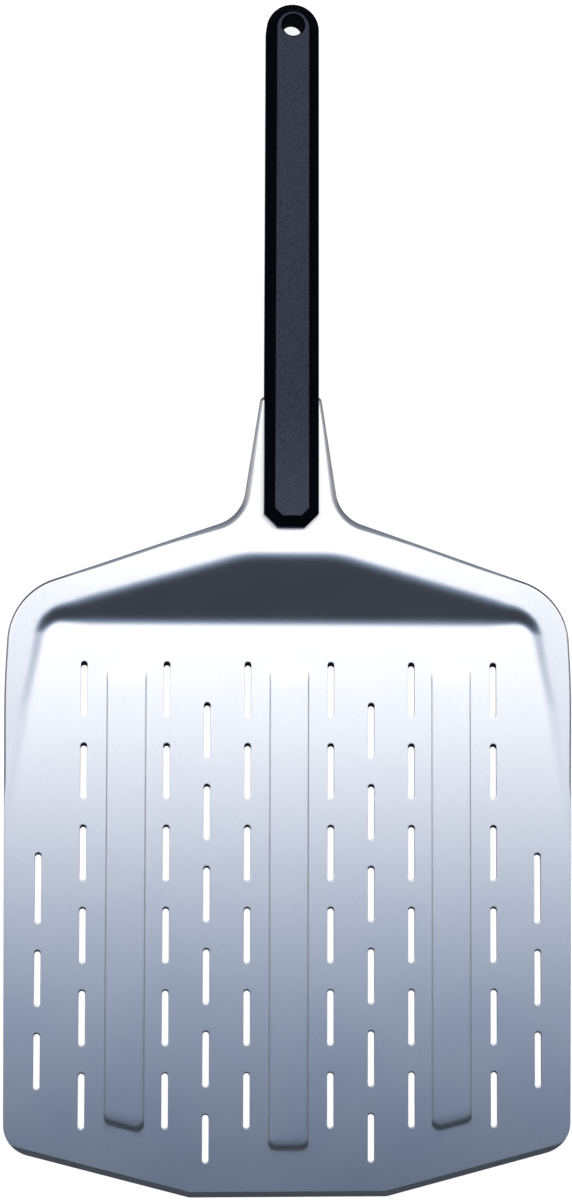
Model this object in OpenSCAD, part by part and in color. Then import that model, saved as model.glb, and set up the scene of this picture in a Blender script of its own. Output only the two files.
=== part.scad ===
// Perforated pizza peel: one pressed sheet-metal blade with a two-shell moulded handle.
// X = 0 is the plane of symmetry, +Y runs from the front edge to the handle, +Z is up.
// The blade's flat floor stands on Z = 0, and Y = 0 is halfway along the object.

/* [Blade] */
// Overall length, from the front edge to the end of the handle
total_l = 743; // [736:1:780]
// Width of the blade at its rear corners
blade_w = 355.2; // [350:0.2:366]
// How much narrower the blade is at the front, on each side
side_taper = 2; // [0:0.2:4]
// Thickness of the sheet
sheet_t = 2; // [1.5:0.1:2]
// Half of the straight part of the front edge
front_half = 61; // [50:1:80]
// Angle of the slanted parts of the front edge
front_slant = 14.65; // [10:0.05:18]
// Radius of the front corners
front_r = 20; // [15:1:26]
// Radius of the rear corners
rear_r = 42; // [34:1:44]
// Width of the bevel ground on the front edge
edge_bevel_w = 3.6; // [3:0.2:5]
// Thickness left at the front edge
edge_t = 0.5; // [0.4:0.1:1]

/* [Step and neck] */
// Distance from the front edge to the foot of the step
foot_from_front = 356.5; // [352:0.5:359]
// Height that the step lifts the neck
step_rise = 12.75; // [12:0.25:14]
// Slope of the step, as rise over run
step_slope = 0.323; // [0.3:0.001:0.33]
// Half of the level part of the step's top edge
roof_half = 27; // [24:1:32]
// Slope of the step's top edge towards the sides, seen from above
roof_slope = 0.279; // [0.25:0.001:0.28]
// Half width of each bend, seen from above
bend_half = 4; // [3.5:0.5:5]
// Angle of the shoulders from the X axis
shoulder_slant = 18.6; // [18:0.1:20]
// Radius of the fillet between shoulder and neck
neck_fillet = 24; // [20:1:28]
// Width of the turned-down rim around the shoulders and neck
rim_w = 3.4; // [2.4:0.2:3.6]
// Half width of the tang inside the handle
tang_half = 11; // [9:0.5:11]

/* [Slots and ribs] */
// Width of a slot
slot_w = 4; // [3:0.1:4.5]
// Length of a slot, over its round ends
slot_l = 34.4; // [30:0.2:36]
// Distance between slots along a column
slot_pitch = 50.8; // [48:0.1:51]
// Distance from the front edge to the rear end of the first slots
slots_from_front = 330.5; // [329:0.5:333]
// Width of a pressed rib
rib_w = 25; // [20:1:26]
// Height of a pressed rib
rib_h = 1; // [0.6:0.1:1.2]
// Distance from the middle rib to a side rib
rib_spacing = 101.5; // [100:0.5:103]

/* [Handle] */
// Width of the handle at its front end
grip_w = 34; // [32:1:36]
// How much narrower the handle is at its rear end, on each side
grip_taper = 0.5; // [0:0.1:1]
// Height of the handle above the sheet
grip_above = 15; // [14:0.5:18]
// Depth of the handle below the top of the sheet
grip_below = 12; // [11:0.5:12.5]
// Width of the bevels along the handle
grip_bevel = 6.6; // [5:0.2:7]
// Size of the 45 degree corners at the handle's front end
grip_corner = 8.5; // [7:0.5:9]
// Distance from the front edge to the handle's front end
grip_from_front = 413.5; // [412:0.5:416]
// Wall thickness of the shells
wall_t = 3; // [2.5:0.5:3.5]
// Diameter of the hanging hole
hang_hole_d = 13; // [10:1:15]
// Width of the bevels round the hanging hole
hang_bevel = 1; // [0.5:0.1:1.5]
// Distance from the handle's end to the middle of the hanging hole
hang_from_end = 15; // [14.5:0.5:18]

/* [Fasteners] */
// Thread diameter of the handle screws
screw_d = 4; // [3:0.5:4]
// Length of the handle screws under the head
screw_l = 15; // [14:0.5:15.5]
// Depth of the pocket that hides a screw head
head_pocket_depth = 5; // [4.5:0.5:6]

/* [Hidden] */
$fn = 96;

// A gap that keeps neighbouring pieces from sharing volume
fit_gap = 0.02;
// A reach well past the whole object, for cutting tools
far = 500;

// Lengthwise places, all measured from the front edge
y_front = -total_l / 2;
foot_y = y_front + foot_from_front;
roof_y = foot_y + step_rise / step_slope;
grip_y = y_front + grip_from_front;
end_half = grip_w / 2 - grip_taper;
round_y = total_l / 2 - end_half;
hang_y = total_l / 2 - hang_from_end;
slots_y = y_front + slots_from_front;

// Half widths of the outline at its corners
side_x = blade_w / 2;
front_x = side_x - side_taper;
slant_y = y_front + (front_x - front_half) * tan(front_slant);
shoulder_y = foot_y + 15;

// Behind lean_y the sides lean inwards, up to the rear corners where they meet the shoulders
lean_y = foot_y - 41;
side_lean = 3.2;
corner_in = (shoulder_y - lean_y) * tan(side_lean) / (1 - tan(shoulder_slant) * tan(side_lean));
corner_y = shoulder_y + corner_in * tan(shoulder_slant);

// The neck leans inwards from its foot to its top, then a narrower tang enters the handle
neck_foot_x = 30.7;
neck_top_x = 18.9;
neck_foot_y = shoulder_y + (side_x - neck_foot_x) * tan(shoulder_slant);
neck_top_y = neck_foot_y + 75;
tang_end_y = neck_top_y + 75;

// Heights
sheet_top = step_rise + sheet_t;
grip_top = sheet_top + grip_above;
grip_bottom = sheet_top - grip_below;

// Screws: three hold the tang, two hold the shells together behind it
screw_y = [for (step = [22, 69, 130, 205, 280]) grip_y + step];
shank_hole_d = screw_d + 0.4;
head_d = 7.2;
head_h = 2.8;
head_pocket_d = 8.2;
insert_d = 6;
insert_l = 9;
boss_d = 11;
seat_z = grip_bottom + head_pocket_depth;

// ---- Sheet shape ----

// Smallest and largest of two heights, with the corner between them rounded over k
function round_min(a, b, k) = min(a, b) - pow(max(k - abs(a - b), 0), 2) / (4 * k);
function round_max(a, b, k) = -round_min(-a, -b, k);

// Creases run from beside the step to the sides, and the sheet outside them is a low lip.
// In front of the step, over crease_fade, a crease loses the share crease_soft of its slope
crease_x = 154;
crease_y = foot_y - 12;
crease_angle = 11.2;
crease_r = 9;
crease_soft = 0.6;
crease_fade_y = foot_y - 5;
crease_fade = 50;
lip_end_y = foot_y - 130;
lip_rise = 1.8;
// The lip rises no further than this many times its length
lip_limit = 1.3;

// Distance outwards from the flat floor, whose rear corners are rounded
function floor_distance(x, y) =
    let (behind = y - foot_y + crease_r,
         share = 1 - crease_soft * max(0, min(1, (crease_fade_y - y) / crease_fade)),
         beside = share * ((abs(x) - crease_x) * cos(crease_angle)
                           + (y - crease_y) * sin(crease_angle)) + crease_r)
    (behind > 0 && beside > 0 ? norm([behind, beside]) : max(behind, beside)) - crease_r;

// Height of the raised flange: level in the middle, falling towards the sides and the front
strip_fall = step_slope * sin(atan(roof_slope));
flange_round = 0.8;
lip_round = 1.2;
function flange_height(x, y) =
    let (roof_angle = atan(roof_slope),
         along = (abs(x) - roof_half) * cos(roof_angle) - (y - roof_y) * sin(roof_angle),
         strip = step_rise - strip_fall * along,
         share = min((y - lip_end_y) / (foot_y - lip_end_y), lip_limit),
         lip = lip_rise * share * abs(share))
    round_max(round_min(step_rise, strip, flange_round), lip, lip_round);

// Height of the underside of the sheet. The bends get tighter where the flange is low
crease_bend = 0.35;
function sheet_height(x, y) =
    let (flange = flange_height(x, y),
         k = min(step_slope * bend_half, crease_bend * max(flange, 1)))
    round_max(0, round_min(flange, step_slope * floor_distance(x, y), k), k);

// Columns and rows of the sheet's net, closest together at the bends
half_columns = [20, 27, 34, 60, 90, 115, 128, 136, 142, 147, 151, 154, 157, 161, 166, 172, 187];
columns = concat([for (i = [len(half_columns) - 1:-1:0]) -half_columns[i]], [0], half_columns);
bend_rows = [for (i = [-2:2]) i * bend_half / 2];
function roof_row(x) = max(roof_y - roof_slope * max(abs(x) - roof_half, 0), foot_y + 2 * bend_half + 1);
function rows(x) =
    let (first = foot_y + bend_half, last = roof_row(x) - bend_half)
    concat([y_front - 20, lip_end_y - 70, lip_end_y - 20],
           [for (d = [120, 90, 60, 40, 24, 16, 10]) foot_y - d],
           [for (d = bend_rows) foot_y + d],
           [for (i = [1:3]) first + (last - first) * i / 4],
           [for (d = bend_rows) roof_row(x) + d],
           [roof_row(x) + 14, roof_y + 30, tang_end_y + 20]);

// In front of the step the outer columns lean outwards with the creases
function slide(x, y) =
    sign(x) * max(crease_y - y, 0) * tan(crease_angle) * min(max((abs(x) - 136) / 12, 0), 1);

// A slab that follows the sheet, between two shares of its height plus an offset each
module sheet_slab(low_share, low, high_share, high) {
    nx = len(columns);
    ny = len(rows(0));
    function at(side, i, j) = (side * nx + i) * ny + j;
    function quad(a, b, c, d) = [[a, b, c], [a, c, d]];
    points = [for (share = [[low_share, low], [high_share, high]], column = columns, y = rows(column))
              let (x = column + slide(column, y)) [x, y, share[0] * sheet_height(x, y) + share[1]]];
    skins = [for (i = [0:nx - 2], j = [0:ny - 2], face = concat(
                 quad(at(0, i, j), at(0, i + 1, j), at(0, i + 1, j + 1), at(0, i, j + 1)),
                 quad(at(1, i, j), at(1, i, j + 1), at(1, i + 1, j + 1), at(1, i + 1, j))))
             face];
    ends = [for (i = [0:nx - 2], face = concat(
                quad(at(0, i, 0), at(1, i, 0), at(1, i + 1, 0), at(0, i + 1, 0)),
                quad(at(0, i, ny - 1), at(0, i + 1, ny - 1), at(1, i + 1, ny - 1), at(1, i, ny - 1))))
            face];
    sides = [for (j = [0:ny - 2], face = concat(
                 quad(at(0, 0, j), at(0, 0, j + 1), at(1, 0, j + 1), at(1, 0, j)),
                 quad(at(0, nx - 1, j), at(1, nx - 1, j), at(1, nx - 1, j + 1), at(0, nx - 1, j + 1))))
             face];
    polyhedron(points, concat(skins, ends, sides));
}

// ---- Outline with true arcs ----

function unit(v) = v / norm(v);
function left_of(v) = [-v[1], v[0]];
function mirrored(half) =
    concat(half, [for (i = [len(half) - 1:-1:0]) [-half[i][0], half[i][1], half[i][2]]]);

// Corners of the blade's right half, each with its radius, from the front edge to the tang
outline_half = [
    [front_half, y_front, 10],
    [front_x, slant_y, front_r],
    [side_x, lean_y, 30],
    [side_x - corner_in, corner_y, rear_r],
    [neck_foot_x, neck_foot_y, neck_fillet],
    [neck_top_x, neck_top_y, 3],
    [tang_half, neck_top_y, 0.5],
    [tang_half, tang_end_y, 3]];

// The same corners after the outline is moved inwards by d
function inset(corners, d) = [for (i = [0:len(corners) - 1])
    let (n = len(corners),
         here = [corners[i][0], corners[i][1]],
         before = corners[(i + n - 1) % n],
         after = corners[(i + 1) % n],
         e1 = unit(here - [before[0], before[1]]),
         e2 = unit([after[0], after[1]] - here),
         inwards = (left_of(e1) + left_of(e2)) / (1 + e1 * e2),
         r = cross(e1, e2) > 0 ? max(corners[i][2] - d, 0.5) : corners[i][2] + d)
    [here[0] + d * inwards[0], here[1] + d * inwards[1], r]];

// A polygon with each corner rounded by a true arc
module rounded(corners) {
    n = len(corners);
    arcs = [for (i = [0:n - 1])
        let (here = [corners[i][0], corners[i][1]],
             before = corners[(i + n - 1) % n],
             after = corners[(i + 1) % n],
             r = corners[i][2],
             e1 = unit(here - [before[0], before[1]]),
             e2 = unit([after[0], after[1]] - here),
             turn = cross(e1, e2) > 0 ? 1 : -1,
             back = r * sqrt((1 - e1 * e2) / (1 + e1 * e2)))
        [here - back * e1, here + back * e2,
         here + turn * r * (left_of(e1) + left_of(e2)) / (1 + e1 * e2), r, turn]];
    difference() {
        union() {
            polygon([for (arc = arcs, side = [0, 1]) arc[side]]);
            for (arc = arcs) if (arc[4] > 0) translate(arc[2]) circle(arc[3]);
        }
        for (arc = arcs) if (arc[4] < 0) translate(arc[2]) circle(arc[3]);
    }
}

// ---- Blade ----

// Columns of slots on one side: place from the middle, rows down to the first slot, count
slot_columns = [[26, 0, 6], [51.3, 0.5, 6], [76.5, 0, 6], [128, 0, 6], [155.6, 3.52, 2]];
long_slot_l = 43.6;
long_slot_drop = 118.8;
short_slot_l = 30;

// A slot with round ends, from its rear end
module slot(x, y, l) {
    translate([x - slot_w / 2, y - l + slot_w / 2]) square([slot_w, l - slot_w]);
    for (end = [slot_w / 2, l - slot_w / 2]) translate([x, y - end]) circle(slot_w / 2);
}

// All slots. The outer columns start with a longer slot, the staggered ones end with a shorter one
module slots() {
    for (side = [-1, 1]) {
        for (column = slot_columns, row = [0:column[2] - 1]) {
            last_staggered = column[1] == 0.5 && row == column[2] - 1;
            slot(side * column[0], slots_y - (column[1] + row) * slot_pitch,
                 last_staggered ? short_slot_l : slot_l);
        }
        slot(side * slot_columns[4][0], slots_y - long_slot_drop, long_slot_l);
    }
}

// Outline of a rib moved inwards by d. A side rib's front end follows the slanted front edge
module rib_outline(side, d) {
    rear = slots_y - 2;
    middle_front = slots_y - 301.8;
    side_front = slots_y - 288.2;
    lean = side * rib_w / 2 * tan(front_slant);
    front = side == 0 ? middle_front : side_front;
    rounded(inset([[side * rib_spacing - rib_w / 2, front - lean, 5],
                   [side * rib_spacing + rib_w / 2, front + lean, 5],
                   [side * rib_spacing + rib_w / 2, rear, 5],
                   [side * rib_spacing - rib_w / 2, rear, 5]], d));
}

// A wedge that bevels the top of an edge running along X through the origin
module edge_wedge(l) {
    rotate([90, 0, 90]) translate([0, 0, -l / 2]) linear_extrude(l)
        polygon([[-10, edge_t], [0, edge_t], [edge_bevel_w, sheet_t], [edge_bevel_w, 9], [-10, 9]]);
}

module front_bevel() {
    translate([0, y_front, 0]) edge_wedge(blade_w);
    for (side = [-1, 1])
        translate([side * front_half, y_front, 0]) rotate(side * front_slant) edge_wedge(blade_w);
}

module blade() {
    color("silver") difference() {
        union() {
            intersection() {
                linear_extrude(far) rounded(mirrored(outline_half));
                sheet_slab(1, 0, 1, sheet_t);
            }
            // Turned-down rim, deepest along the neck and fading out along the sides
            intersection() {
                linear_extrude(far) difference() {
                    rounded(mirrored(outline_half));
                    rounded(inset(mirrored(outline_half), rim_w));
                    translate([-side_x, y_front - 1]) square([blade_w, lip_end_y + 20 - y_front]);
                    translate([-grip_w / 2 - 1, neck_foot_y]) square([grip_w + 2, far]);
                }
                sheet_slab(0.75, 0, 1, sheet_t / 2);
            }
            for (side = [-1:1]) linear_extrude(sheet_t + rib_h) rib_outline(side, 0);
        }
        for (side = [-1:1]) translate([0, 0, -1]) linear_extrude(1 + rib_h) rib_outline(side, 1.5);
        translate([0, 0, -1]) linear_extrude(far) slots();
        front_bevel();
        for (i = [0:2]) translate([0, screw_y[i], 0]) cylinder(h = far, d = shank_hole_d);
    }
}

// ---- Handle ----

// Right half of the octagonal section between two heights
function half_section(half, low, high, cut) =
    [[half - cut, low], [half, low + cut], [half, high - cut], [half - cut, high]];

// The handle's straight part seen from above, moved inwards by d except at its rear end
module grip_outline(d) {
    half = grip_w / 2;
    corners = inset([[half - grip_corner, grip_y, 0], [half, grip_y + grip_corner, 0],
                     [end_half, round_y + d, 0], [-end_half, round_y + d, 0],
                     [-half, grip_y + grip_corner, 0], [-half + grip_corner, grip_y, 0]], d);
    polygon([for (corner = corners) [corner[0], corner[1]]]);
}

// The handle's outer form: bevelled all round, angular at the front, round at the rear
module grip_form() {
    grip_h = grip_top - grip_bottom;
    hull() {
        translate([0, 0, grip_bottom]) linear_extrude(grip_h) grip_outline(grip_bevel);
        translate([0, 0, grip_bottom + grip_bevel]) linear_extrude(grip_h - 2 * grip_bevel)
            grip_outline(0);
    }
    section = half_section(end_half, grip_bottom, grip_top, grip_bevel);
    translate([0, round_y, 0]) rotate_extrude(angle = 180)
        polygon(concat([[0, grip_bottom]], section, [[0, grip_top]]));
}

// The hollow inside the two shells
module grip_hollow() {
    section = half_section(end_half - wall_t, grip_bottom + wall_t, grip_top - wall_t,
                           grip_bevel - wall_t * (2 - sqrt(2)));
    front = grip_y + grip_corner + 2;
    rear = hang_y - hang_hole_d / 2 - 6;
    translate([0, rear, 0]) rotate([90, 0, 0]) linear_extrude(rear - front)
        polygon(concat(section, [for (i = [len(section) - 1:-1:0]) [-section[i][0], section[i][1]]]));
}

module at_screws() {
    for (y = screw_y) translate([0, y, 0]) children();
}

// Cross ribs between the screw bosses, standing clear of the parting face by a gap
module cross_ribs(low, high) {
    for (i = [0:len(screw_y) - 2])
        translate([-grip_w / 2 + wall_t / 2, (screw_y[i] + screw_y[i + 1]) / 2 - 1, low])
            cube([grip_w - wall_t, 2, high - low]);
}

// The hanging hole, bevelled at both ends
module hanging_hole() {
    wide_d = hang_hole_d + 2 * hang_bevel + 2;
    translate([0, hang_y, 0]) {
        cylinder(h = far, d = hang_hole_d);
        translate([0, 0, grip_top - hang_bevel])
            cylinder(h = hang_bevel + 1, d1 = hang_hole_d, d2 = wide_d);
        translate([0, 0, grip_bottom - 1]) cylinder(h = hang_bevel + 1, d1 = wide_d, d2 = hang_hole_d);
    }
}

module handle_top() {
    color([0.13, 0.14, 0.16]) difference() {
        intersection() {
            grip_form();
            translate([-far, -far, sheet_top]) cube([2 * far, 2 * far, far]);
            union() {
                difference() {
                    translate([-far, -far, 0]) cube([2 * far, 2 * far, far]);
                    grip_hollow();
                }
                at_screws() cylinder(h = far, d = boss_d);
                cross_ribs(sheet_top + 4, grip_top - 1);
            }
        }
        at_screws() translate([0, 0, sheet_top - 1]) cylinder(h = insert_l + 1.5, d = insert_d);
        hanging_hole();
    }
}

module handle_bottom() {
    color([0.1, 0.11, 0.12]) difference() {
        intersection() {
            grip_form();
            // The shell stops under the wide neck, and under the tang it has a pocket for it
            difference() {
                translate([-far, -far, 0]) cube([2 * far, 2 * far, sheet_top - fit_gap]);
                translate([-far, -far, step_rise - fit_gap])
                    cube([2 * far, far + neck_top_y + 0.3, sheet_t + 1]);
                translate([-tang_half - 0.3, grip_y, step_rise - fit_gap])
                    cube([2 * tang_half + 0.6, tang_end_y + 0.5 - grip_y, sheet_t + 1]);
            }
            union() {
                difference() {
                    translate([-far, -far, 0]) cube([2 * far, 2 * far, far]);
                    grip_hollow();
                }
                at_screws() cylinder(h = far, d = boss_d);
                cross_ribs(grip_bottom + 1, step_rise - 2);
            }
        }
        at_screws() cylinder(h = far, d = shank_hole_d);
        at_screws() translate([0, 0, -1]) cylinder(h = seat_z + 1, d = head_pocket_d);
        hanging_hole();
    }
}

// ---- Fasteners ----

// A cap screw with a hexagon socket, its thread pointing up
module cap_screw() {
    difference() {
        union() {
            translate([0, 0, -head_h]) cylinder(h = head_h, d = head_d);
            cylinder(h = screw_l, d = screw_d - fit_gap);
        }
        translate([0, 0, -head_h - 1]) cylinder(h = 2.6, d = 3.4, $fn = 6);
    }
}

module handle_screws() {
    color("dimgray") at_screws() translate([0, 0, seat_z - fit_gap]) cap_screw();
}

module threaded_inserts() {
    color("goldenrod") at_screws() translate([0, 0, sheet_top + fit_gap]) difference() {
        cylinder(h = insert_l, d = insert_d - fit_gap);
        translate([0, 0, -1]) cylinder(h = insert_l + 2, d = screw_d);
    }
}

blade();
handle_top();
handle_bottom();
handle_screws();
threaded_inserts();
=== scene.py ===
"""Pizza peel: a slotted pressed-metal blade and a moulded handle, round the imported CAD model."""
import math

import bmesh
import bpy
import numpy as np
from mathutils import Matrix, Vector
from mathutils.geometry import delaunay_2d_cdt
from mathutils.kdtree import KDTree


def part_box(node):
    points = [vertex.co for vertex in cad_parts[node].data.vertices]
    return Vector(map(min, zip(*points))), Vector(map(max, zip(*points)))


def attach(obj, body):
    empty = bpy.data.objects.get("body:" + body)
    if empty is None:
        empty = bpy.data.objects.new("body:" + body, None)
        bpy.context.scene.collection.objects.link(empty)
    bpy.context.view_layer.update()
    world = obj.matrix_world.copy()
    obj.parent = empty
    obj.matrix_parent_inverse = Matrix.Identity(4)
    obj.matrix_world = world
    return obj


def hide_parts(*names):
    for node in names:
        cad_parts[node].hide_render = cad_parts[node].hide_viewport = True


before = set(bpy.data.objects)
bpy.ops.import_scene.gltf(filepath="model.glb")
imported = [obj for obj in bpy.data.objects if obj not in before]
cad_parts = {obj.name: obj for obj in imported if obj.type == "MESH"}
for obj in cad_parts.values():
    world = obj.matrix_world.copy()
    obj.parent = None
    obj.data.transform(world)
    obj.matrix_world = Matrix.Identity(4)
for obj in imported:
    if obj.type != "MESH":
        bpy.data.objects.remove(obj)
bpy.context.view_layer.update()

MM = 0.001

# ---- Sizes, in millimetres, as the CAD source has them ----

BLADE_LOW, BLADE_HIGH = (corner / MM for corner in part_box("blade"))
Y_FRONT = BLADE_LOW.y
SHEET_T = 2.0
STEP_RISE = BLADE_HIGH.z - SHEET_T
STEP_SLOPE = 0.323
FOOT_Y = Y_FRONT + 356.5
ROOF_Y = FOOT_Y + STEP_RISE / STEP_SLOPE
ROOF_HALF = 27.0
ROOF_ANGLE = math.atan(0.279)
BEND = STEP_SLOPE * 4
FRONT_HALF, FRONT_X, SIDE_X = 61.0, 175.6, 177.6
FRONT_SLANT = math.radians(14.65)
SLANT_Y = Y_FRONT + (FRONT_X - FRONT_HALF) * math.tan(FRONT_SLANT)
SHOULDER_Y = FOOT_Y + 15
SHOULDER_RISE = math.tan(math.radians(18.6))
LEAN_Y, SIDE_LEAN = FOOT_Y - 41, math.tan(math.radians(3.2))
CORNER_IN = (SHOULDER_Y - LEAN_Y) * SIDE_LEAN / (1 - SHOULDER_RISE * SIDE_LEAN)
CORNER_Y = SHOULDER_Y + CORNER_IN * SHOULDER_RISE
NECK_FOOT_X, NECK_TOP_X, TANG_HALF = 30.7, 18.9, 11.0
NECK_FOOT_Y = SHOULDER_Y + (SIDE_X - NECK_FOOT_X) * SHOULDER_RISE
NECK_TOP_Y = NECK_FOOT_Y + 75
CLAMP_HALF = 17.2
TANG_END_Y = BLADE_HIGH.y
EDGE_T, EDGE_BEVEL_W = 0.5, 3.6

# The crease round the flat floor, and the low lip outside it
CREASE_X, CREASE_Y, CREASE_ANGLE, CREASE_R = 154.0, FOOT_Y - 12, math.radians(11.2), 9.0
CREASE_BEND = 0.35
# In front of the step a crease loses this share of its slope, over this length
CREASE_SOFT, CREASE_FADE_Y, CREASE_FADE = 0.6, FOOT_Y - 5, 50.0
LIP_END_Y = FOOT_Y - 130
LIP_RISE, LIP_LIMIT = 1.8, 1.3
STRIP_FALL = STEP_SLOPE * math.sin(ROOF_ANGLE)
FLANGE_ROUND, LIP_ROUND = 0.8, 1.2

# Slots: columns as distance from the middle, rows down to the first slot, and count
SLOT_W, SLOT_L, SLOT_PITCH, STAGGER = 4.0, 34.4, 50.8, 0.5
SLOTS_Y = Y_FRONT + 330.5
SLOT_COLUMNS = [(26, 0, 6), (51.3, STAGGER, 6), (76.5, 0, 6), (128, 0, 6), (155.6, 3.52, 2)]
LONG_SLOT_L, LONG_SLOT_DROP, SHORT_SLOT_L = 43.6, 118.8, 30.0
# Rolled top edge and broken bottom edge of a slot, and the last ring's distance from the roll
SLOT_ROLL, SLOT_BREAK, SLOT_GAP = 0.2, 0.15, 0.5

# Ribs: foot outline, and how far the level top lies inside it on each side
RIB_W, RIB_H, RIB_SPACING = 25.0, 1.0, 101.5
RIB_REAR = SLOTS_Y - 2
RIB_FRONTS = {-1: SLOTS_Y - 288.2, 0: SLOTS_Y - 301.8, 1: SLOTS_Y - 288.2}
RIB_CUT_OUTER, RIB_CUT_INNER, RIB_CUT_FRONT, RIB_CUT_REAR = 3.2, 4.5, 9.0, 13.0
RIB_FOOT_R, RIB_TOP_R = 5.0, 2.5

# Fineness of the net: spacing of the free points, and of those along rings
FREE_STEP, RING_STEP = 1.25, 3.0

# ---- Plane curves ----


def unit(v):
    return v / np.hypot(*v)


def left_of(v):
    return np.array([-v[1], v[0]])


def rounded_loop(corners, spacing, arc_step=math.radians(6), counts=None):
    """Points and inward normals round a closed outline with rounded corners, the inside on the left.

    counts, from an earlier loop, gives the same number of points to each arc and straight.
    """
    n = len(corners)
    points, normals, used = [], [], []
    arcs = []
    for i in range(n):
        here = np.array(corners[i][:2])
        e1 = unit(here - np.array(corners[i - 1][:2]))
        e2 = unit(np.array(corners[(i + 1) % n][:2]) - here)
        turn = math.atan2(e1[0] * e2[1] - e1[1] * e2[0], float(e1 @ e2))
        r = corners[i][2]
        start = here - r * math.tan(abs(turn) / 2) * e1
        centre = start + math.copysign(r, turn) * left_of(e1)
        arcs.append((start, centre, turn, r))
    for i in range(n):
        start, centre, turn, r = arcs[i]
        steps = max(2, math.ceil(abs(turn) / arc_step), math.ceil(abs(turn) * r / spacing))
        if counts:
            steps = counts[i][0]
        spoke = start - centre
        for k in range(steps + 1):
            a = turn * k / steps
            arm = np.array([spoke[0] * math.cos(a) - spoke[1] * math.sin(a),
                            spoke[0] * math.sin(a) + spoke[1] * math.cos(a)])
            points.append(centre + arm)
            normals.append(-math.copysign(1, turn) * unit(arm))
        end, following = points[-1], arcs[(i + 1) % n][0]
        pieces = max(1, math.ceil(np.hypot(*(following - end)) / spacing))
        if counts:
            pieces = counts[i][1]
        for k in range(1, pieces):
            points.append(end + (following - end) * k / pieces)
            normals.append(normals[-1])
        used.append((steps, pieces))
    return np.array(points), np.array(normals), used


def mirrored(half):
    return half + [(-x, y, r) for x, y, r in reversed(half)]


def inside(points, loop):
    """Which points lie inside a closed loop."""
    x, y = points[:, 0][:, None], points[:, 1][:, None]
    a, b = loop, np.roll(loop, -1, 0)
    crosses = (a[:, 1] > y) != (b[:, 1] > y)
    with np.errstate(divide="ignore", invalid="ignore"):
        at = a[:, 0] + (y - a[:, 1]) * (b[:, 0] - a[:, 0]) / (b[:, 1] - a[:, 1])
    return (crosses & (x < at)).sum(1) % 2 == 1


def inside_small(points, loop):
    """As inside, but quick for a small loop."""
    near = ((points > loop.min(0)) & (points < loop.max(0))).all(1)
    hit = near.copy()
    hit[near] = inside(points[near], loop)
    return hit


def smooth(t):
    t = np.clip(t, 0, 1)
    return t * t * (3 - 2 * t)


def rise(value, start, length):
    """0 up to start, and from there smoothly up to 1."""
    return smooth((value - start) / length)


# ---- Heights of the pressed sheet ----


def round_min(a, b, k):
    return np.minimum(a, b) - np.maximum(k - abs(a - b), 0) ** 2 / (4 * k)


def round_max(a, b, k):
    return -round_min(-a, -b, k)


def floor_distance(x, y):
    """Distance outwards from the flat floor, whose rear corners are rounded.

    In front of the step it grows more slowly, so that the creases get softer.
    """
    behind = y - FOOT_Y + CREASE_R
    share = 1 - CREASE_SOFT * np.clip((CREASE_FADE_Y - y) / CREASE_FADE, 0, 1)
    beside = share * ((abs(x) - CREASE_X) * math.cos(CREASE_ANGLE)
                      + (y - CREASE_Y) * math.sin(CREASE_ANGLE)) + CREASE_R
    corner = np.hypot(np.maximum(behind, 0), np.maximum(beside, 0))
    return np.where((behind > 0) & (beside > 0), corner, np.maximum(behind, beside)) - CREASE_R


def flange_height(x, y):
    """The raised flange: level in the middle, falling towards the sides and the front."""
    along = (abs(x) - ROOF_HALF) * math.cos(ROOF_ANGLE) - (y - ROOF_Y) * math.sin(ROOF_ANGLE)
    strip = STEP_RISE - STRIP_FALL * along
    share = np.minimum((y - LIP_END_Y) / (FOOT_Y - LIP_END_Y), LIP_LIMIT)
    lip = LIP_RISE * share * abs(share)
    return round_max(round_min(STEP_RISE, strip, FLANGE_ROUND), lip, LIP_ROUND)


def sheet_height(x, y):
    """Underside of the sheet."""
    flange = flange_height(x, y)
    k = np.minimum(BEND, CREASE_BEND * np.maximum(flange, 1))
    return round_max(0, round_min(flange, STEP_SLOPE * floor_distance(x, y), k), k)


def front_distance(x, y):
    """Distance from the front edge's three straight parts."""
    front = y - Y_FRONT
    slant = front * math.cos(FRONT_SLANT) - (abs(x) - FRONT_HALF) * math.sin(FRONT_SLANT)
    return np.minimum(front, slant)


def bevel_height(x, y):
    """Top of the bevel ground on the front edge."""
    return EDGE_T + (SHEET_T - EDGE_T) / EDGE_BEVEL_W * front_distance(x, y)


def edge_thickness(x, y):
    return np.minimum(SHEET_T, bevel_height(x, y))


# ---- The blade ----


class Net:
    """Collects the points and faces of one closed mesh, in millimetres.

    A ring is its points' indices in the mesh, and the points on plan.
    """

    def __init__(self):
        self.points, self.faces, self.count = [], [], 0

    def add(self, xy, z):
        """Adds points and gives their indices."""
        z = np.broadcast_to(z, len(xy))
        self.points.append(np.column_stack([xy, z]))
        self.count += len(xy)
        return np.arange(self.count - len(xy), self.count)

    def ring(self, xy, z):
        return self.add(xy, z), xy

    def band(self, outer, inner):
        """Joins two closed rings of the same length, the first below or outside the second."""
        a, b = outer[0], inner[0]
        a2, b2 = np.roll(a, -1), np.roll(b, -1)
        self.faces += [tuple(map(int, f)) for f in np.column_stack([a, a2, b2, b])]

    def make(self, name):
        mesh = bpy.data.meshes.new(name)
        mesh.from_pydata((np.vstack(self.points) * MM).tolist(), [], self.faces)
        mesh.validate()
        mesh.update()
        return mesh


# Section through the turned-down edge: how far inwards and down, as shares of the roll's width
EDGE_PROFILE = [(0, 0.73), (0.03, 0.68), (0.1, 0.61), (0.2, 0.52), (0.3, 0.435), (0.4, 0.35),
                (0.5, 0.27), (0.6, 0.195), (0.7, 0.13), (0.78, 0.085), (0.85, 0.05), (0.93, 0.02),
                (1, 0.006), (1.12, 0)]
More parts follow.
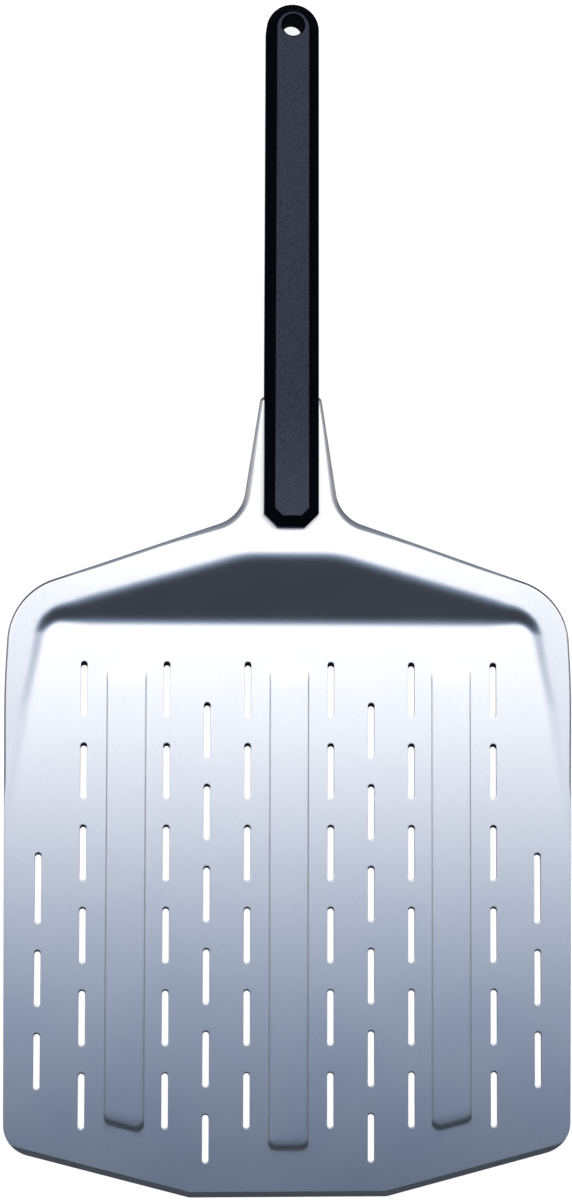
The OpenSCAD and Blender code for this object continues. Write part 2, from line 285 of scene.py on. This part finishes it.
# Width of the roll on a plain edge, and what the rim adds where it is low, raised and high
PLAIN_ROLL, LOW_RIM_ROLL, RAISED_RIM_ROLL, HIGH_RIM_ROLL = 0.35, 1, 1.4, 2
# The widest roll, a roll's share of a thin edge, and the metal that is left under a roll
WIDEST_ROLL, THIN_SHARE, LEAST_WALL = 4.6, 0.3, 0.4
# Steepness of the roll, and what the neck and the low lip add to it
STEEP, NECK_STEEPER, LIP_STEEPER = 0.76, 0.24, 0.4
# Distance from the roll to the last ring of the edge
INNER_GAP = 0.35
# How much narrower the rim is at the handle, and a plain edge's underside as a share of the rim's
NECK_NARROWER, PLAIN_WIDTH = 0.48, 0.4
# The underside near the edge: how far in, whether it is as low as the rim, and a small rise or
# fall that breaks the corner there, which is no more than a share of the edge's thickness
CORNER_SHARE = 0.2
RIM_PROFILE = [(0, 1, 0.25), (0.25, 1, 0), (3.0, 1, 0), (3.4, 1, 0.3), (3.6, 0, -0.3), (4.4, 0, 0)]
OUTLINE = mirrored([
    (FRONT_HALF, Y_FRONT, 10), (FRONT_X, SLANT_Y, 20), (SIDE_X, LEAN_Y, 550),
    (SIDE_X - CORNER_IN, CORNER_Y, 42), (NECK_FOOT_X, NECK_FOOT_Y, 24), (NECK_TOP_X, NECK_TOP_Y, 3),
    (TANG_HALF, NECK_TOP_Y, 0.5), (TANG_HALF, TANG_END_Y, 3)])


def slot_places():
    """Rear end and length of every slot. The last one of a staggered column is short."""
    for side in (-1, 1):
        for x, first, count in SLOT_COLUMNS:
            for row in range(count):
                short = first == STAGGER and row == count - 1
                yield side * x, SLOTS_Y - (first + row) * SLOT_PITCH, SHORT_SLOT_L if short else SLOT_L
        yield side * SLOT_COLUMNS[-1][0], SLOTS_Y - LONG_SLOT_DROP, LONG_SLOT_L


def slot_loop(x, y, length, arc=8, straight=7):
    """Points round a slot and the directions into the metal, the metal on the right."""
    r = SLOT_W / 2
    points, outwards = [], []
    for centre_y, first in ((y - r, 0), (y - length + r, math.pi)):
        for k in range(arc + 1):
            a = first + math.pi * k / arc
            direction = np.array([math.cos(a), math.sin(a)])
            points.append(np.array([x, centre_y]) + r * direction)
            outwards.append(direction)
        other_y = y - length + r if first == 0 else y - r
        for k in range(1, straight):
            points.append(points[-1] * [1, 0] + [0, centre_y + (other_y - centre_y) * k / straight])
            outwards.append(outwards[-1])
    return np.array(points), np.array(outwards)


def slot_lean(y):
    """How far a slot's rear end leans forwards on its way down: more for the slots near the step."""
    least, more, far_y, near_y = 0.7, 1.6, -300, -40
    return least + more * np.clip((y - far_y) / (near_y - far_y), 0, 1) ** 2


# Section through a rib's slope: the place from its foot, 0, to its level top, 1, and the share of
# its height there
RIB_PROFILE = [(-0.04, 0), (-0.01, 0.01), (0.03, 0.08), (0.08, 0.3), (0.14, 0.52), (0.2, 0.7),
               (0.26, 0.81), (0.34, 0.88), (0.5, 0.94), (0.7, 0.975), (1, 1), (1.1, 1)]


def rib_loops(side):
    """Rings from outside a rib's foot to its top, each with its height."""
    lean = math.tan(FRONT_SLANT) * side
    middle, front = side * RIB_SPACING, RIB_FRONTS[side]
    left = RIB_CUT_OUTER if side < 0 else RIB_CUT_INNER
    right = RIB_CUT_OUTER if side > 0 else RIB_CUT_INNER

    def corners(cut_left, cut_right, cut_front, cut_rear, r):
        x0, x1 = -RIB_W / 2 + cut_left, RIB_W / 2 - cut_right
        return [(middle + x0, front + cut_front + lean * x0, r),
                (middle + x1, front + cut_front + lean * x1, r),
                (middle + x1, RIB_REAR - cut_rear, r),
                (middle + x0, RIB_REAR - cut_rear, r)]

    foot, _, counts = rounded_loop(corners(0, 0, 0, 0, RIB_FOOT_R), RING_STEP, math.radians(10))
    top, _, _ = rounded_loop(
        corners(left, right, RIB_CUT_FRONT, RIB_CUT_REAR, RIB_TOP_R), RING_STEP, counts=counts)
    return [(RIB_H * lift, foot + (top - foot) * t) for t, lift in RIB_PROFILE]


RIBS = [rib_loops(side) for side in (-1, 0, 1)]


def rib_heights(xy):
    """How far the ribs lift each point, from the ring that it lies on or in."""
    lift = np.zeros(len(xy))
    reach, on_ring = 1, 0.9999
    for loops in RIBS:
        foot = loops[0][1]
        near = ((xy > foot.min(0) - reach) & (xy < foot.max(0) + reach)).all(1)
        for height, loop in loops[1:]:
            sub = lift[near]
            centre = loop.mean(0)
            sub[inside(centre + (xy[near] - centre) * on_ring, loop)] = height
            lift[near] = sub
    return lift


def top_height(xy):
    x, y = xy.T
    return np.minimum(sheet_height(x, y) + SHEET_T + rib_heights(xy), bevel_height(x, y))


def under_height(xy):
    return sheet_height(*xy.T) + rib_heights(xy)


def net_points():
    """Free points of the sheet's net, closest together where it bends."""
    d, half_columns, rows = FREE_STEP, 142, 460
    column, row = (g.ravel() for g in np.meshgrid(np.arange(2 * half_columns + 1), np.arange(rows)))
    x, y = (column - half_columns) * d, row * d + Y_FRONT
    curve = abs(sheet_height(x + d, y) + sheet_height(x - d, y) + sheet_height(x, y + d)
                + sheet_height(x, y - d) - 4 * sheet_height(x, y)) / d ** 2
    slightly_bent, bent = 0.0008, 0.006
    coarse = (column % 4 == 0) & (row % 4 == 0)
    medium = (column % 2 == 0) & (row % 2 == 0) & (curve > slightly_bent)
    return np.column_stack([x, y])[coarse | medium | (curve > bent)]


def clear_points(free, rings, coords, gap=0.8):
    """The free points inside the first ring, outside the others and clear of all coords."""
    free = free[inside(free, rings[0][1])]
    for _, points in rings[1:]:
        free = free[~inside_small(free, points)]
    tree = KDTree(len(coords))
    for k, (x, y) in enumerate(coords):
        tree.insert((x, y, 0), k)
    tree.balance()
    return free[[tree.find((x, y, 0))[2] > gap for x, y in free]]


def fill(net, rings, creases, free, height, up):
    """Triangulates between the first ring and the others, and gives each new point its height.

    The rings are already in the net. creases are (points, whether closed).
    """
    coords, edges, known = [], [], []

    def lay(points, index, closed):
        start = len(coords)
        coords.extend(points.tolist())
        known.extend(index)
        edges.extend((start + k, start + k + 1) for k in range(len(points) - 1))
        if closed:
            edges.append((start + len(points) - 1, start))

    for index, points in rings:
        lay(points, index, True)
    for points, closed in creases:
        lay(points, [-1] * len(points), closed)
    free = clear_points(free, rings, coords)
    coords.extend(free.tolist())
    known.extend([-1] * len(free))
    inside_edges, tolerance = 1, 1e-6
    found, _, faces, origins, _, _ = delaunay_2d_cdt(
        [Vector(c) for c in coords], edges, [], inside_edges, tolerance, True)
    # Points that the net already has keep their place in it, and the others are added
    old = [[known[o] for o in origin if known[o] >= 0] for origin in origins]
    place = np.array([indices[0] if indices else -1 for indices in old])
    flat = np.array([v[:] for v in found])
    fresh = flat[place < 0]
    place[place < 0] = net.add(fresh, height(fresh))
    triangles = np.array([f for f in faces if len(f) == 3])
    middle = flat[triangles].mean(1)
    keep = inside(middle, rings[0][1])
    for _, points in rings[1:]:
        keep &= ~inside_small(middle, points)
    for a, b, c in place[triangles[keep]]:
        net.faces.append((int(a), int(b), int(c)) if up else (int(a), int(c), int(b)))


def rim_depth(x, y):
    """How far the rim reaches below the sheet: a share of its height, and nothing at the handle."""
    share, fade = 0.25, 1.2
    return share * sheet_height(x, y) * rise(abs(x), CLAMP_HALF, fade)


def edge_shape(x, y):
    """At points of the outline: the rim's share and width, and the edge's roll and its steepness.

    The rim turns down along the shoulders and neck, narrows up the neck and ends at the tang. Its
    roll is widest where the flange is high. A roll is narrow where the edge is thin.
    """
    lifted, up_neck = sheet_height(x, y), y - NECK_FOOT_Y
    low, raised, high = 1 - rise(lifted, 2, 2), rise(lifted, 1.5, 4), rise(lifted, 8, 5)
    rim = rise(y - LIP_END_Y, 10, 20) * rise(abs(x) - TANG_HALF, 1.5, 3)
    narrow = 1 - NECK_NARROWER * rise(up_neck, 0, 70)
    width = narrow * (PLAIN_WIDTH + (1 - PLAIN_WIDTH) * rim)
    steep = STEEP + NECK_STEEPER * rise(up_neck, -12, 25) + LIP_STEEPER * rim * low
    rim_roll = LOW_RIM_ROLL + RAISED_RIM_ROLL * raised + HIGH_RIM_ROLL * high
    edge = edge_thickness(x, y)
    widest = np.where(edge < SHEET_T, THIN_SHARE * edge, WIDEST_ROLL)
    deepest = SHEET_T - LEAST_WALL + rim_depth(x, y) * rim
    roll = np.minimum(narrow * (PLAIN_ROLL + rim * rim_roll), widest)
    roll = np.minimum(roll, deepest / (EDGE_PROFILE[0][1] * steep))
    return rim, width, roll, steep


def edge_rings(net):
    """The sheet's edge. Gives the innermost rings of its top and of its underside."""
    outline, normal, _ = rounded_loop(OUTLINE, RING_STEP, math.radians(3))
    rim, width, roll, steep = edge_shape(*outline.T)
    top = []
    for inwards, drop in EDGE_PROFILE:
        at = outline + normal * (roll * inwards)[:, None]
        base = np.minimum(sheet_height(*at.T) + SHEET_T, bevel_height(*at.T))
        top.append(net.ring(at, base - steep * roll * drop))
    at = outline + normal * (EDGE_PROFILE[-1][0] * roll + INNER_GAP)[:, None]
    top.append(net.ring(at, top_height(at)))
    corner = CORNER_SHARE * edge_thickness(*outline.T)
    under = []
    for inwards, low, up in RIM_PROFILE:
        at = outline + normal * (width * inwards)[:, None]
        depth = rim_depth(*at.T) * rim
        limit = corner if inwards == 0 else depth / 2
        under.append(net.ring(at, sheet_height(*at.T) - low * depth + np.clip(up, -limit, limit)))
    net.band(under[0], top[0])
    for a, b in zip(top, top[1:]):
        net.band(a, b)
    for a, b in zip(under, under[1:]):
        net.band(b, a)
    return top[-1], under[-1]


def slot_rings(net):
    """The slots, with rolled top edges. Gives their rings on the top and below, and their walls."""
    top, under = [], []
    first_wall = len(net.faces)
    for x, y, length in slot_places():
        loop, outwards = slot_loop(x, y, length)
        rear = smooth((loop[:, 1] - y + length / 2) / (length / 2 - SLOT_W / 2))
        low = loop - np.outer(slot_lean(y) * rear, [0, 1])
        rings = []
        for a in np.radians([0, 30, 60, 90]):
            at = loop + outwards * SLOT_ROLL * (1 - math.cos(a))
            rings.append(net.ring(at, SHEET_T - SLOT_ROLL * (1 - math.sin(a))))
        rings.append(net.ring(loop + outwards * (SLOT_ROLL + SLOT_GAP), SHEET_T))
        wall = net.ring(low, SLOT_BREAK)
        foot = net.ring(low + outwards * SLOT_BREAK, 0)
        net.band(wall, foot)
        net.band(rings[0], wall)
        top.append(rings)
        under.append(foot)
    walls = range(first_wall, len(net.faces))
    for rings in top:
        for a, b in zip(rings, rings[1:]):
            net.band(b, a)
    return [rings[-1] for rings in top], under, walls


def blade_mesh():
    """The whole blade as one closed mesh. The slots' walls have the second material."""
    net = Net()
    top_edge, under_edge = edge_rings(net)
    top_holes, under_holes, walls = slot_rings(net)
    creases = [(loop, True) for loops in RIBS for _, loop in loops]
    free = net_points()
    for loops in RIBS:
        free = free[~(inside(free, loops[0][1]) & ~inside(free, loops[-1][1]))]
    crease_gap = 1
    free = free[abs(front_distance(*free.T) - EDGE_BEVEL_W) > crease_gap]
    bevel_line = bevel_crease(top_edge[1])
    fill(net, [top_edge] + top_holes, creases + [(bevel_line, False)], free, top_height, True)
    fill(net, [under_edge] + under_holes, creases, free, under_height, False)
    mesh = net.make("Peel_Blade")
    for k in walls:
        mesh.polygons[k].material_index = 1
    return mesh


def bevel_crease(limit):
    """Points along the bevel's inner edge, ending at points of the limit at both ends."""
    turn = np.array([FRONT_HALF - EDGE_BEVEL_W * math.tan(FRONT_SLANT / 2), Y_FRONT + EDGE_BEVEL_W])
    along = np.array([math.cos(FRONT_SLANT), math.sin(FRONT_SLANT)])
    reach, spacing, gap, straight_points = 130, 2.0, 1, 31
    slanted = turn + along * np.arange(0, reach, spacing)[:, None]
    clear = np.hypot(*(slanted[:, None] - limit[None]).transpose(2, 0, 1)).min(1) > gap
    slanted = slanted[clear & inside(slanted, limit)]
    ends = []
    for side in (-1, 1):
        beyond = limit[side * limit[:, 0] > slanted[-1, 0]]
        ends.append(beyond[abs(front_distance(*beyond.T) - EDGE_BEVEL_W).argmin()])
    straight = np.linspace(-turn, turn, straight_points)[1:-1] * [1, 0] + [0, turn[1]]
    return np.vstack([ends[0], slanted[::-1] * [-1, 1], straight, slanted, ends[1]])


def sharpen_bevel(mesh):
    """Marks the bevel's inner edge as sharp: the net's bent edges close to it."""
    reach, bent = 1.6, math.radians(8)
    whole = bmesh.new()
    whole.from_mesh(mesh)
    x, y, z = np.array([v.co[:] for v in whole.verts]).T / MM
    near = (abs(front_distance(x, y) - EDGE_BEVEL_W) < reach) & (z > 0.75 * SHEET_T)
    for edge in whole.edges:
        a, b = edge.verts
        if near[a.index] and near[b.index] and edge.calc_face_angle(0) > bent:
            edge.smooth = False
    whole.to_mesh(mesh)
    whole.free()


# ---- Materials ----

PLASTIC_TINT = (0.0012, 0.0013, 0.0018)
# Towards the blade, over this length in metres, the handle's textured faces turn to this lighter
# colour: painted light for the front end's brighter look under the lights
PAINTED_LIGHT_LENGTH, PAINTED_LIGHT_COLOUR = 0.09, (0.028, 0.031, 0.041)
HANDLE_FRONT_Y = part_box("handle_top")[0].y


def shader(name):
    """A new material, its nodes, its links and its surface node."""
    material = bpy.data.materials.new(name)
    material.use_nodes = True
    nodes = material.node_tree.nodes
    return material, nodes, material.node_tree.links, nodes["Principled BSDF"]


def grain(nodes, links, scale, stretch=(1, 1, 1), detail=3):
    """Noise in the object's own coordinates, scale in cycles per metre."""
    place = nodes.new("ShaderNodeTexCoord")
    mapping = nodes.new("ShaderNodeMapping")
    mapping.inputs["Scale"].default_value = stretch
    noise = nodes.new("ShaderNodeTexNoise")
    noise.inputs["Scale"].default_value = scale
    noise.inputs["Detail"].default_value = detail
    links.new(place.outputs["Object"], mapping.inputs["Vector"])
    links.new(mapping.outputs["Vector"], noise.inputs["Vector"])
    return noise.outputs["Fac"]


def tint(nodes, links, value, low, high, socket):
    """Mixes from the colour low, or a socket's, to high as the value goes from 0 to 1."""
    node = nodes.new("ShaderNodeMix")
    node.data_type = "RGBA"
    if isinstance(low, tuple):
        node.inputs["A"].default_value = (*low, 1)
    else:
        links.new(low, node.inputs["A"])
    node.inputs["B"].default_value = (*high, 1)
    links.new(value, node.inputs["Factor"])
    links.new(node.outputs["Result"], socket)
    return node.outputs["Result"]


def ramp(nodes, links, value, low, high, socket):
    """Maps the middle half of a noise to the numbers low to high."""
    node = nodes.new("ShaderNodeMapRange")
    node.inputs["From Min"].default_value = 0.25
    node.inputs["From Max"].default_value = 0.75
    node.inputs["To Min"].default_value = low
    node.inputs["To Max"].default_value = high
    links.new(value, node.inputs["Value"])
    links.new(node.outputs["Result"], socket)


def share_range(nodes, links, value, low, high):
    """A node that goes from low where the value is 0 to high where it is 1."""
    node = nodes.new("ShaderNodeMapRange")
    node.inputs["To Min"].default_value = low
    node.inputs["To Max"].default_value = high
    links.new(value, node.inputs["Value"])
    return node


def bump(nodes, links, value, bsdf, depth, strength=1.0):
    """Relief, with its depth in metres."""
    node = nodes.new("ShaderNodeBump")
    node.inputs["Strength"].default_value = strength
    node.inputs["Distance"].default_value = depth
    links.new(value, node.inputs["Height"])
    links.new(node.outputs["Normal"], bsdf.inputs["Normal"])
    return node


def brushed_metal():
    """Satin anodised sheet, finely brushed along the blade."""
    material, nodes, links, bsdf = shader("brushed_sheet")
    bsdf.inputs["Metallic"].default_value = 1
    bsdf.inputs["Anisotropic"].default_value = 0.7
    across = nodes.new("ShaderNodeCombineXYZ")
    across.inputs["X"].default_value = 1
    links.new(across.outputs["Vector"], bsdf.inputs["Tangent"])
    brush = grain(nodes, links, scale=1500, stretch=(1, 0.12, 1))
    cloud = grain(nodes, links, scale=18)
    tint(nodes, links, brush, (0.82, 0.825, 0.84), (0.93, 0.93, 0.945), bsdf.inputs["Base Color"])
    ramp(nodes, links, cloud, 0.35, 0.38, bsdf.inputs["Roughness"])
    bump(nodes, links, brush, bsdf, depth=0.00002, strength=0.3)
    return material


def slot_wall_painted_shade():
    """The slots' rough metal walls, with painted shade: a dark base colour for the shade at the slots'
    rear ends.
    """
    material, nodes, links, bsdf = shader("slot_wall_painted_shade")
    bsdf.inputs["Metallic"].default_value = 1
    tear = grain(nodes, links, scale=1500, stretch=(1, 1, 0.2))
    # Painted shade: the walls' dark colour stands in for the shade seen at the slots' rear ends
    tint(nodes, links, tear, (0.05, 0.055, 0.065), (0.12, 0.125, 0.14), bsdf.inputs["Base Color"])
    ramp(nodes, links, tear, 0.4, 0.6, bsdf.inputs["Roughness"])
    bump(nodes, links, tear, bsdf, depth=0.0001, strength=0.5)
    return material


def moulded_plastic(name):
    """Dark glass-filled nylon: finely textured faces between polished bevels."""
    material, nodes, links, bsdf = shader(name)
    speckle = grain(nodes, links, scale=1700, detail=2)
    texture = textured_faces(nodes, links)
    dark, light = (tuple(share * c for c in PLASTIC_TINT) for share in (0.6, 1.6))
    colour = tint(nodes, links, speckle, dark, light, bsdf.inputs["Base Color"])
    # Painted light: the textured faces turn lighter towards the handle's front end
    paint_front_light(nodes, links, colour, texture, bsdf)
    rough = share_range(nodes, links, texture, 0.16, 1)
    ramp(nodes, links, speckle, 0.36, 0.52, rough.inputs["To Max"])
    links.new(rough.outputs["Result"], bsdf.inputs["Roughness"])
    relief = bump(nodes, links, speckle, bsdf, depth=0.00025)
    strength = share_range(nodes, links, texture, 0.04, 0.8)
    links.new(strength.outputs["Result"], relief.inputs["Strength"])
    ramp(nodes, links, speckle, 0.2, 1.3, bsdf.inputs["Specular IOR Level"])
    bsdf.inputs["Specular Tint"].default_value = (0.62, 0.70, 1.0, 1)
    return material


def paint_front_light(nodes, links, colour, texture, bsdf):
    """Lightens the textured faces towards the handle's front end: painted light for the front end's
    brighter look under the lights.
    """
    place = nodes.new("ShaderNodeTexCoord")
    parts = nodes.new("ShaderNodeSeparateXYZ")
    links.new(place.outputs["Object"], parts.inputs["Vector"])
    front_light_share = nodes.new("ShaderNodeMapRange")
    front_light_share.interpolation_type = "SMOOTHSTEP"
    front_light_share.inputs["From Min"].default_value = HANDLE_FRONT_Y + PAINTED_LIGHT_LENGTH
    front_light_share.inputs["From Max"].default_value = HANDLE_FRONT_Y
    links.new(parts.outputs["Y"], front_light_share.inputs["Value"])
    share = nodes.new("ShaderNodeMath")
    share.operation = "MULTIPLY"
    links.new(front_light_share.outputs["Result"], share.inputs[0])
    links.new(texture, share.inputs[1])
    tint(nodes, links, share.outputs["Value"], colour, PAINTED_LIGHT_COLOUR, bsdf.inputs["Base Color"])


def textured_faces(nodes, links):
    """1 on level and upright faces, 0 on the 45 degree bevels between them.

    The value is the distance of the normal's upward share from that of a bevel.
    """
    place = nodes.new("ShaderNodeTexCoord")
    parts = nodes.new("ShaderNodeSeparateXYZ")
    links.new(place.outputs["Normal"], parts.inputs["Vector"])
    value = parts.outputs["Z"]
    for operation, operand in (("ABSOLUTE", 0), ("SUBTRACT", math.sqrt(0.5)), ("ABSOLUTE", 0)):
        node = nodes.new("ShaderNodeMath")
        node.operation = operation
        node.inputs[1].default_value = operand
        links.new(value, node.inputs[0])
        value = node.outputs["Value"]
    mask = nodes.new("ShaderNodeMapRange")
    mask.inputs["From Min"].default_value = 0.08
    mask.inputs["From Max"].default_value = 0.2
    links.new(value, mask.inputs["Value"])
    return mask.outputs["Result"]


def black_steel():
    """Screws, black oxide."""
    material, nodes, links, bsdf = shader("black_oxide_steel")
    bsdf.inputs["Metallic"].default_value = 1
    fine = grain(nodes, links, scale=2500)
    tint(nodes, links, fine, (0.10, 0.10, 0.11), (0.18, 0.18, 0.19), bsdf.inputs["Base Color"])
    ramp(nodes, links, fine, 0.35, 0.5, bsdf.inputs["Roughness"])
    return material


def turned_brass():
    """Inserts, with turning marks round their axis."""
    material, nodes, links, bsdf = shader("turned_brass")
    bsdf.inputs["Metallic"].default_value = 1
    rings = grain(nodes, links, scale=1500, stretch=(0.1, 0.1, 1))
    tint(nodes, links, rings, (0.62, 0.42, 0.16), (0.78, 0.57, 0.27), bsdf.inputs["Base Color"])
    ramp(nodes, links, rings, 0.25, 0.4, bsdf.inputs["Roughness"])
    return material


# ---- Pieces ----


def make_blade():
    obj = bpy.data.objects.new("Peel_Blade", blade_mesh())
    bpy.context.scene.collection.objects.link(obj)
    obj.data.materials.append(brushed_metal())
    obj.data.materials.append(slot_wall_painted_shade())
    obj.data.shade_smooth()
    obj.data.set_sharp_from_angle(angle=math.radians(35))
    sharpen_bevel(obj.data)
    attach(obj, "root")
    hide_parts("blade")


def dress_node(node, material, round_off=0.0):
    """Gives a CAD node its material, and rounds its edges off by so many millimetres."""
    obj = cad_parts[node]
    for slot in obj.material_slots:
        slot.material = material
    if round_off:
        edge = obj.modifiers.new("rounded_edges", "BEVEL")
        edge.width = round_off * MM
        edge.segments = 3
        edge.limit_method = "ANGLE"
        edge.angle_limit = math.radians(28)
        edge.use_clamp_overlap = False


# ---- Studio ----

# The camera's place in millimetres, its turns about Z, X and Y in degrees, and its lens
CAMERA_AT = Vector((-81.35, -105.0, 1563.7))
CAMERA_TURNS = (("Z", -0.141), ("X", -3.768), ("Y", 2.899))
CAMERA_LENS, CAMERA_SENSOR = 75, 36


def make_camera():
    """Above the blade and a little to the left, looking down."""
    data = bpy.data.cameras.new("camera")
    data.lens, data.sensor_width = CAMERA_LENS, CAMERA_SENSOR
    obj = bpy.data.objects.new("camera", data)
    bpy.context.scene.collection.objects.link(obj)
    turn = Matrix.Identity(3)
    for axis, degrees in CAMERA_TURNS:
        turn = turn @ Matrix.Rotation(math.radians(degrees), 3, axis)
    obj.matrix_world = Matrix.LocRotScale(CAMERA_AT * MM, turn.transposed(), None)
    data.clip_start, data.clip_end = 0.05, 50
    bpy.context.scene.camera = obj


def area_light(name, centre, size, radiance, colour):
    """A rectangular soft light that faces straight down. Sizes in metres."""
    data = bpy.data.lights.new(name, "AREA")
    data.shape, data.size, data.size_y = "RECTANGLE", size[0], size[1]
    data.energy, data.color = radiance * math.pi * size[0] * size[1], colour
    obj = bpy.data.objects.new(name, data)
    obj.location = centre
    obj.visible_camera = False
    bpy.context.scene.collection.objects.link(obj)


WIDE, CANOPY_COLOUR = (-6.5, 6.5), (0.7, 0.83, 1.0)
# Overhead lights in metres: name, height, low and high X, low and high Y, radiance and colour.
# Those that overlap hang a little apart, the bright strip lowest
LIGHTS = (
    ("bright_strip", 3.98, WIDE, (0.4, 0.8), 0.8, (1, 1, 1)),
    ("softbox", 4.0, WIDE, (-0.205, 4.2), 1.41, (1, 0.99, 0.96)),
    ("cool_strip", 4.02, WIDE, (-0.95, 0.05), 0.3, (0.02, 0.33, 1.0)),
    ("front_fill", 4.0, WIDE, (-7.2, -4.2), 0.09, (0.75, 0.84, 1.0)),
    ("rear_canopy", 4.0, (-17, 17), (4.2, 22), 0.34, CANOPY_COLOUR),
    ("left_canopy", 4.0, (-17, -6.5), (-1, 4.2), 0.32, CANOPY_COLOUR),
    ("right_canopy", 4.0, (6.5, 17), (-1, 4.2), 0.32, CANOPY_COLOUR))


def make_lights():
    for name, height, (x0, x1), (y0, y1), radiance, colour in LIGHTS:
        centre = ((x0 + x1) / 2, (y0 + y1) / 2, height)
        area_light(name, centre, (x1 - x0, y1 - y0), radiance, colour)


def make_world():
    """Faint cool light from all round."""
    world = bpy.data.worlds.new("studio")
    bpy.context.scene.world = world
    world.use_nodes = True
    back = world.node_tree.nodes["Background"]
    back.inputs["Color"].default_value = (0.6, 0.76, 1.0, 1)
    back.inputs["Strength"].default_value = 0.035


def pale_floor():
    """Pale and evenly lit from above, and clear from below."""
    material, nodes, links, bsdf = shader("pale_floor")
    bsdf.inputs["Base Color"].default_value = (0.45, 0.45, 0.45, 1)
    bsdf.inputs["Roughness"].default_value = 0.9
    bsdf.inputs["Specular IOR Level"].default_value = 0
    bsdf.inputs["Emission Color"].default_value = (1, 1, 1, 1)
    bsdf.inputs["Emission Strength"].default_value = 0.86
    clear = nodes.new("ShaderNodeBsdfTransparent")
    side = nodes.new("ShaderNodeNewGeometry")
    mix = nodes.new("ShaderNodeMixShader")
    links.new(side.outputs["Backfacing"], mix.inputs["Fac"])
    links.new(bsdf.outputs["BSDF"], mix.inputs[1])
    links.new(clear.outputs["BSDF"], mix.inputs[2])
    links.new(mix.outputs["Shader"], nodes["Material Output"].inputs["Surface"])
    return material


# The floor's section in metres: distance from the middle, and height over the flat disc.
# The disc lies just under the object
FLOOR_PROFILE = [(0.5, 0), (2, 0), (5, 0), (7, 0), (8, 0.3), (8.8, 1.1), (9.1, 2.2), (9.1, 9)]
FLOOR_DROP, FLOOR_SIDES = 0.0004, 64


def make_floor():
    """A pale sweep: a flat disc that curves up far away on all sides."""
    around = [2 * math.pi * k / FLOOR_SIDES for k in range(FLOOR_SIDES)]
    points = [(r * math.cos(a), r * math.sin(a), z - FLOOR_DROP)
              for r, z in FLOOR_PROFILE for a in around]
    faces = [tuple(range(FLOOR_SIDES))]
    for start in range(0, len(points) - FLOOR_SIDES, FLOOR_SIDES):
        for k in range(FLOOR_SIDES):
            a, b = start + k, start + (k + 1) % FLOOR_SIDES
            faces.append((a, a + FLOOR_SIDES, b + FLOOR_SIDES, b))
    mesh = bpy.data.meshes.new("floor")
    mesh.from_pydata(points, [], faces)
    mesh.shade_smooth()
    mesh.materials.append(pale_floor())
    obj = bpy.data.objects.new("floor", mesh)
    bpy.context.scene.collection.objects.link(obj)
    obj.visible_diffuse = obj.visible_glossy = obj.visible_transmission = obj.visible_shadow = False


make_camera()
make_world()
make_lights()
make_floor()
make_blade()
dress_node("handle_top", moulded_plastic("moulded_upper"), round_off=0.6)
dress_node("handle_bottom", moulded_plastic("moulded_lower"), round_off=0.6)
dress_node("handle_screws", black_steel())
dress_node("threaded_inserts", turned_brass())
bpy.context.scene.view_settings.view_transform = "Standard"
